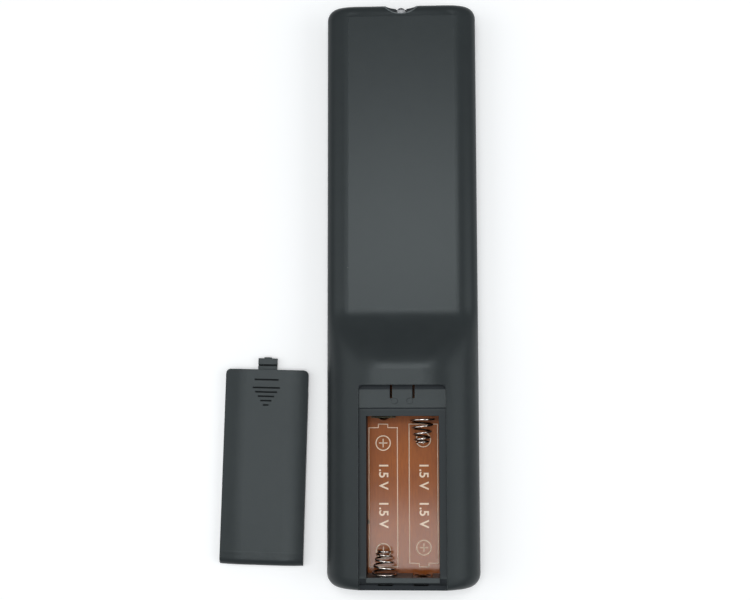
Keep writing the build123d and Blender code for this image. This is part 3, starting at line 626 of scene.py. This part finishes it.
def cell_outline(toward):
    """Outline of a cell, its nub towards +Y or -Y, with the signs of its ends."""
    half = CELL_PRINT_WIDTH / 2
    nub = NUB_WIDTH / 2
    tip = toward * CELL_PRINT_LENGTH / 2
    shoulder = tip - toward * NUB_LENGTH
    back = -tip
    outline = [(-half, back), (-half, shoulder), (-nub, shoulder), (-nub, tip), (nub, tip),
               (nub, shoulder), (half, shoulder), (half, back), (-half, back)]
    plus = tip - toward * PLUS_FROM_NUB
    minus = back + toward * MINUS_FROM_BACK
    return [
        outline,
        arc(0, plus, SIGN_RADIUS),
        [(-SIGN_ARM, plus), (SIGN_ARM, plus)],
        [(0, plus - SIGN_ARM), (0, plus + SIGN_ARM)],
        arc(0, minus, SIGN_RADIUS),
        [(0, minus - SIGN_ARM), (0, minus + SIGN_ARM)],
    ]


finish_node("circuit_board", phenolic())
BOARD_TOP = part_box("circuit_board")[1].z
BOARD_INK = ink("board_ink", PRINT_COLOUR, BOARD_GLOSS)
for opening, side, toward in zip(frame["record"]["physics"]["openings"], (-1, 1), (1, -1)):
    low, high = (Vector(corner) for corner in opening["box_m"])
    centre = Vector(((low.x + high.x) / 2 + side * CELL_PRINT_OUTWARD,
                     CELL_PRINT_HEAD - CELL_PRINT_LENGTH / 2, BOARD_TOP))
    name = opening["name"].removesuffix("_cell_space")
    lines = printed_lines(cell_outline(toward), BOARD_LINE, BOARD_INK)
    piece(name + "_cell_print", lines, "remote", Matrix.Translation(centre))
    text = printed_text(CELL_TEXT, BOARD_TEXT_SIZE, BOARD_INK, BOARD_TEXT_WEIGHT)
    piece(name + "_cell_voltage", text, "remote",
          Matrix.Translation(centre) @ Matrix.Rotation(-pi / 2, 4, "Z"))

# Battery contacts: a conical coil of spring steel under each cell's flat end and a dimpled strip
# at its cap. All are nickel plated: the wire is bright on top and painted darker lower down towards
# the board as shade, and the strips are dull and patchy, their colour painted dark as shade.

WIRE_COLOUR = (232, 222, 214)
WIRE_TARNISH_COLOUR = (168, 156, 140)
# Wire painted darker towards the board as shade, between these two heights.
WIRE_SHADE_COLOUR = (58, 46, 38)
SHADE_TOP = 7.6 * MM
SHADE_BASE = 5.6 * MM
# Strip colours painted dark as shade, over their dull patches.
STRIP_SHADE_COLOUR = (62, 59, 48)
STRIP_SHADE_TARNISH_COLOUR = (34, 31, 24)


def plating_group():
    """Streaks of a drawn or rolled metal, and the dull patches of an old plating."""
    tree, taken, given = node_group(
        "plating", "ShaderNodeTree",
        [("Streak Width", "NodeSocketFloat", 0.06 * MM), ("Patch Size", "NodeSocketFloat", 2.0 * MM)],
        [("Streaks", "NodeSocketFloat"), ("Tarnish", "NodeSocketFloat")],
    )
    place = wire(tree, "ShaderNodeTexCoord").outputs["Object"]
    drawn = wire(tree, "ShaderNodeMapping", {"Vector": place, "Scale": (0.15, 1.0, 0.15)})
    streaks = wire(tree, "ShaderNodeTexNoise", {
        "Vector": drawn.outputs[0], "Scale": per_metre(tree, taken["Streak Width"]), "Detail": 3.0,
    })
    patches = wire(tree, "ShaderNodeTexNoise", {
        "Vector": place, "Scale": per_metre(tree, taken["Patch Size"]), "Detail": 4.0,
    })
    tarnish = wire(tree, "ShaderNodeMapRange", {
        "Value": patches.outputs[0], "From Min": 0.50, "From Max": 0.72,
    })
    tree.links.new(streaks.outputs[0], given.inputs["Streaks"])
    tree.links.new(tarnish.outputs[0], given.inputs["Tarnish"])
    return tree


PLATING = plating_group()


def plated(name, bright, dull, smooth, rough):
    """A plated metal between two colours and two roughnesses."""
    material, tree, shader = new_material(name, Metallic=1.0)
    plating = wire(tree, "ShaderNodeGroup", node_tree=PLATING).outputs
    colour = blend_colour(tree, plating["Tarnish"], paint(*bright), paint(*dull))
    bump = wire(tree, "ShaderNodeBump", {
        "Height": plating["Streaks"], "Strength": 0.05, "Distance": 0.01 * MM,
    })
    tree.links.new(colour, shader.inputs["Base Color"])
    tree.links.new(map_value(tree, plating["Tarnish"], smooth, rough), shader.inputs["Roughness"])
    tree.links.new(bump.outputs[0], shader.inputs["Normal"])
    return material


def shaded_below(material, top, base):
    """The plated metal, painted darker as shade from a height above the table down to a lower one."""
    tree = material.node_tree
    shader = tree.nodes["Principled BSDF"]
    place = wire(tree, "ShaderNodeTexCoord").outputs["Object"]
    height = wire(tree, "ShaderNodeSeparateXYZ", {0: place}).outputs["Z"]
    shade_share = wire(tree, "ShaderNodeMapRange", {
        "Value": height, "From Min": top, "From Max": base,
    }).outputs[0]
    bare = shader.inputs["Base Color"].links[0].from_socket
    tree.links.new(blend_colour(tree, shade_share, bare, paint(*WIRE_SHADE_COLOUR)),
                   shader.inputs["Base Color"])
    return material


# Spring wire, painted darker lower down as shade.
SPRING_WIRE = shaded_below(plated("spring_wire", WIRE_COLOUR, WIRE_TARNISH_COLOUR, 0.20, 0.30),
                      BOARD_TOP + SHADE_TOP, BOARD_TOP + SHADE_BASE)
# Contact strips, painted dark as shade.
STRIP = plated("contact_strip", STRIP_SHADE_COLOUR, STRIP_SHADE_TARNISH_COLOUR, 0.12, 0.30)
for side in ("left", "right"):
    finish_node(side + "_battery_spring", SPRING_WIRE)
for end in ("head", "foot"):
    finish_node(end + "_contact", STRIP)

# Infrared emitter: an LED of clear epoxy that looks out of the notch at the head end. Cast into it are
# a post with a cup for the chip and a thinner post for the bond wire, which go on as tinned leads
# and bend down into the board.

TIN_COLOUR = (190, 190, 192)
TIN_DULL_COLOUR = (140, 140, 142)
CUP_RADIUS = 0.75 * MM
CUP_REACH = 2.3 * MM
POST_REACH = 2.6 * MM
POST_WIDTH = 0.5 * MM
LENS_LENGTH = 1.05 * MM
EPOXY_COLOUR = (240, 241, 243)
LENS_COLOUR = (112, 110, 114)
EPOXY_WAVE_SCALE = 900.0
POST_FROM_BACK = 0.02 * MM
CUP_OFF_AXIS = 0.45
POST_OFF_AXIS = 0.85


def clear_epoxy():
    """Cast resin with a pale body and a dark lens, and faint waves on its face."""
    material, tree, shader = new_material(
        "clear_epoxy", Transmission_Weight=0.45, IOR=1.5, Roughness=0.08,
    )
    place = wire(tree, "ShaderNodeTexCoord").outputs["Object"]
    along = wire(tree, "ShaderNodeSeparateXYZ", {0: place}).outputs["Y"]
    lens = wire(tree, "ShaderNodeMath", {
        0: along, 1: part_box("infrared_emitter")[1].y - LENS_LENGTH,
    }, operation="GREATER_THAN")
    tree.links.new(blend_colour(tree, lens.outputs[0], paint(*EPOXY_COLOUR), paint(*LENS_COLOUR)),
                   shader.inputs["Base Color"])
    waves = wire(tree, "ShaderNodeTexNoise", {"Vector": place, "Scale": EPOXY_WAVE_SCALE, "Detail": 1.0})
    bump = wire(tree, "ShaderNodeBump", {
        "Height": waves.outputs[0], "Strength": 0.12, "Distance": 0.05 * MM,
    })
    tree.links.new(bump.outputs[0], shader.inputs["Normal"])
    return material


def lathe(profile, steps=20):
    """A closed turned shape about +Y from (distance, radius) points, its ends on the axis."""
    rings = [[(radius * cos(2 * pi * step / steps), along, radius * sin(2 * pi * step / steps))
              for step in range(steps)] for along, radius in profile[1:-1]]
    points = [(0, profile[0][0], 0)] + [p for ring in rings for p in ring] + [(0, profile[-1][0], 0)]
    last = len(points) - 1
    faces = []
    for step in range(steps):
        after = (step + 1) % steps
        faces.append((0, 1 + step, 1 + after))
        for row in range(len(rings) - 1):
            start = 1 + row * steps
            faces.append((start + step, start + steps + step, start + steps + after, start + after))
        start = last - steps
        faces.append((last, start + after, start + step))
    mesh = bpy.data.meshes.new("lathe")
    mesh.from_pydata(points, [], faces)
    mesh.polygons.foreach_set("use_smooth", [True] * len(faces))
    return mesh


finish_node("infrared_emitter", clear_epoxy())
TINNED = plated("tinned_wire", TIN_COLOUR, TIN_DULL_COLOUR, 0.25, 0.5)
for leads in ("emitter_leads", "resistor_leads", "wire_jumpers"):
    finish_node(leads, TINNED)
low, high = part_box("infrared_emitter")
lead_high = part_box("emitter_leads")[1]
axis_z = (low.z + high.z) / 2
post_x = lead_high.x - POST_WIDTH / 2
cup = lathe([(0, 0), (0, POST_WIDTH / 2), (CUP_REACH * 0.5, POST_WIDTH / 2),
             (CUP_REACH * 0.8, CUP_RADIUS), (CUP_REACH, CUP_RADIUS),
             (CUP_REACH, CUP_RADIUS * 0.8), (CUP_REACH * 0.85, CUP_RADIUS * 0.3),
             (CUP_REACH * 0.85, 0)])
cup.materials.append(TINNED)
cup_piece = piece("emitter_chip_cup", cup, "remote",
                  Matrix.Translation((-post_x * CUP_OFF_AXIS, low.y + POST_FROM_BACK, axis_z)))
post = lathe([(0, 0), (0, POST_WIDTH / 2), (POST_REACH, POST_WIDTH / 2), (POST_REACH, 0)])
post.materials.append(TINNED)
post_piece = piece("emitter_bond_post", post, "remote",
                   Matrix.Translation((post_x * POST_OFF_AXIS, low.y + POST_FROM_BACK, axis_z)))

# Parts on the board: a capacitor in its sleeve, a dipped resonator and disc capacitors, resistors,
# the emitter's driver, and the controller under a blob of black resin.


def satin(name, colour, rough):
    """A satin coat with small differences in colour."""
    material, tree, shader = new_material(name)
    grain = wire(tree, "ShaderNodeGroup", {"Grain Size": 0.2 * MM, "Cloud Size": 1.5 * MM},
                 node_tree=SPARK_GRAIN).outputs
    full = paint(*colour)
    deep = (*(0.7 * part for part in full[:3]), 1.0)
    bump = wire(tree, "ShaderNodeBump", {
        "Height": grain["Height"], "Strength": 0.2, "Distance": 0.02 * MM,
    })
    tree.links.new(blend_colour(tree, grain["Clouds"], deep, full), shader.inputs["Base Color"])
    tree.links.new(map_value(tree, grain["Clouds"], rough, rough + 0.15), shader.inputs["Roughness"])
    tree.links.new(bump.outputs[0], shader.inputs["Normal"])
    return material


BLACK_EPOXY = satin("black_epoxy", (24, 24, 26), 0.25)
DIPPED = satin("dipped_ceramic", (196, 124, 48), 0.3)
finish_node("controller_blob", BLACK_EPOXY)
finish_node("driver_transistor", BLACK_EPOXY)
finish_node("ceramic_resonator", DIPPED)
finish_node("ceramic_capacitors", DIPPED)
finish_node("smoothing_capacitor", satin("capacitor_sleeve", (34, 42, 72), 0.3))
finish_node("resistors", satin("resistor_coat", (202, 172, 124), 0.3))

# Stage: a plain white table top, three soft lamps overhead, one at each side, and the camera
# straight over the remote, a little towards its right.

FLOOR_HALF = 1.5
FLOOR_DROP = 0.05 * MM
FLOOR_COLOUR = (234, 235, 235)
FLOOR_GLOW = 0.25
EDGE_GLOW = 0.75
GLOW_START = 0.2
GLOW_END = 1.0
ROOM_COLOUR = (0.9, 0.95, 1.0, 1.0)
ROOM_STRENGTH = 0.35
WHITE = (1.0, 1.0, 1.0, 1.0)
CAMERA_PLACE = (9.08 * MM, -38.57 * MM, 393.3 * MM)
CAMERA_TURN = (5.314, 2.675, -0.127)
CAMERA_LENS = 57.8
CAMERA_SENSOR = 36.0
CAMERA_CLIP = 0.01


def table_top():
    """White table top: the camera sees it lit from behind as well, and shadows stay on it."""
    material = bpy.data.materials.new("white_table")
    material.use_nodes = True
    tree = material.node_tree
    tree.nodes.clear()
    lit = wire(tree, "ShaderNodeBsdfDiffuse", {"Color": paint(*FLOOR_COLOUR)})
    place = wire(tree, "ShaderNodeTexCoord").outputs["Object"]
    away = wire(tree, "ShaderNodeVectorMath", {0: place}, operation="LENGTH").outputs["Value"]
    strength = wire(tree, "ShaderNodeMapRange", {
        "Value": away, "From Min": GLOW_START, "From Max": GLOW_END,
        "To Min": FLOOR_GLOW, "To Max": EDGE_GLOW,
    })
    glow = wire(tree, "ShaderNodeEmission", {"Color": WHITE, "Strength": strength.outputs[0]})
    both = wire(tree, "ShaderNodeAddShader", {0: lit.outputs[0], 1: glow.outputs[0]})
    path = wire(tree, "ShaderNodeLightPath")
    seen = wire(tree, "ShaderNodeMath", {0: path.outputs["Is Camera Ray"],
                                         1: path.outputs["Is Transmission Ray"]},
                operation="MAXIMUM")
    chosen = wire(tree, "ShaderNodeMixShader", {0: seen.outputs[0], 1: lit.outputs[0],
                                                2: both.outputs[0]})
    wire(tree, "ShaderNodeOutputMaterial", {"Surface": chosen.outputs[0]})
    return material


def lamp(name, place, aim, width, depth, watts):
    """A soft rectangular lamp."""
    light = bpy.data.lights.new(name, "AREA")
    light.shape = "RECTANGLE"
    light.size, light.size_y = width, depth
    light.energy = watts
    holder = bpy.data.objects.new(name, light)
    holder.location = place
    holder.rotation_euler = (Vector(aim) - Vector(place)).to_track_quat("-Z", "Y").to_euler()
    bpy.context.scene.collection.objects.link(holder)


floor_mesh = bpy.data.meshes.new("table_top")
corners = ((-1, -1), (1, -1), (1, 1), (-1, 1))
floor_mesh.from_pydata([(x * FLOOR_HALF, y * FLOOR_HALF, -FLOOR_DROP) for x, y in corners], [],
                       [(0, 1, 2, 3)])
floor_mesh.materials.append(table_top())
floor = bpy.data.objects.new("table_top", floor_mesh)
bpy.context.scene.collection.objects.link(floor)

lamp("head_lamp", (0.0, 0.15, 0.90), (0, 0.15, 0), 0.32, 0.16, 1.80)
lamp("foot_lamp", (0.0, -0.22, 0.90), (0, -0.22, 0), 0.32, 0.16, 1.15)
lamp("cover_lamp", (-0.23, -0.08, 0.90), (-0.23, -0.08, 0), 0.16, 0.20, 0.6)
lamp("left_lamp", (-0.65, -0.03, 0.62), (0, -0.03, 0), 0.6, 0.6, 1.4)
lamp("right_lamp", (0.65, -0.12, 0.50), (0, -0.06, 0), 0.6, 0.5, 1.6)

world = bpy.data.worlds.new("studio")
world.use_nodes = True
bpy.context.scene.world = world
tree = world.node_tree
tree.nodes.clear()
path = wire(tree, "ShaderNodeLightPath")
room = wire(tree, "ShaderNodeBackground", {"Color": ROOM_COLOUR, "Strength": ROOM_STRENGTH})
white = wire(tree, "ShaderNodeBackground", {"Color": WHITE, "Strength": 1.0})
shown = wire(tree, "ShaderNodeMixShader", {0: path.outputs["Is Camera Ray"], 1: room.outputs[0],
                                           2: white.outputs[0]})
wire(tree, "ShaderNodeOutputWorld", {"Surface": shown.outputs[0]})

camera = bpy.data.objects.new("camera", bpy.data.cameras.new("camera"))
camera.location = CAMERA_PLACE
camera.rotation_euler = Euler([radians(angle) for angle in CAMERA_TURN])
camera.data.lens = CAMERA_LENS
camera.data.sensor_width = CAMERA_SENSOR
camera.data.clip_start = CAMERA_CLIP
bpy.context.scene.collection.objects.link(camera)
bpy.context.scene.camera = camera
bpy.context.scene.view_settings.view_transform = "Standard"
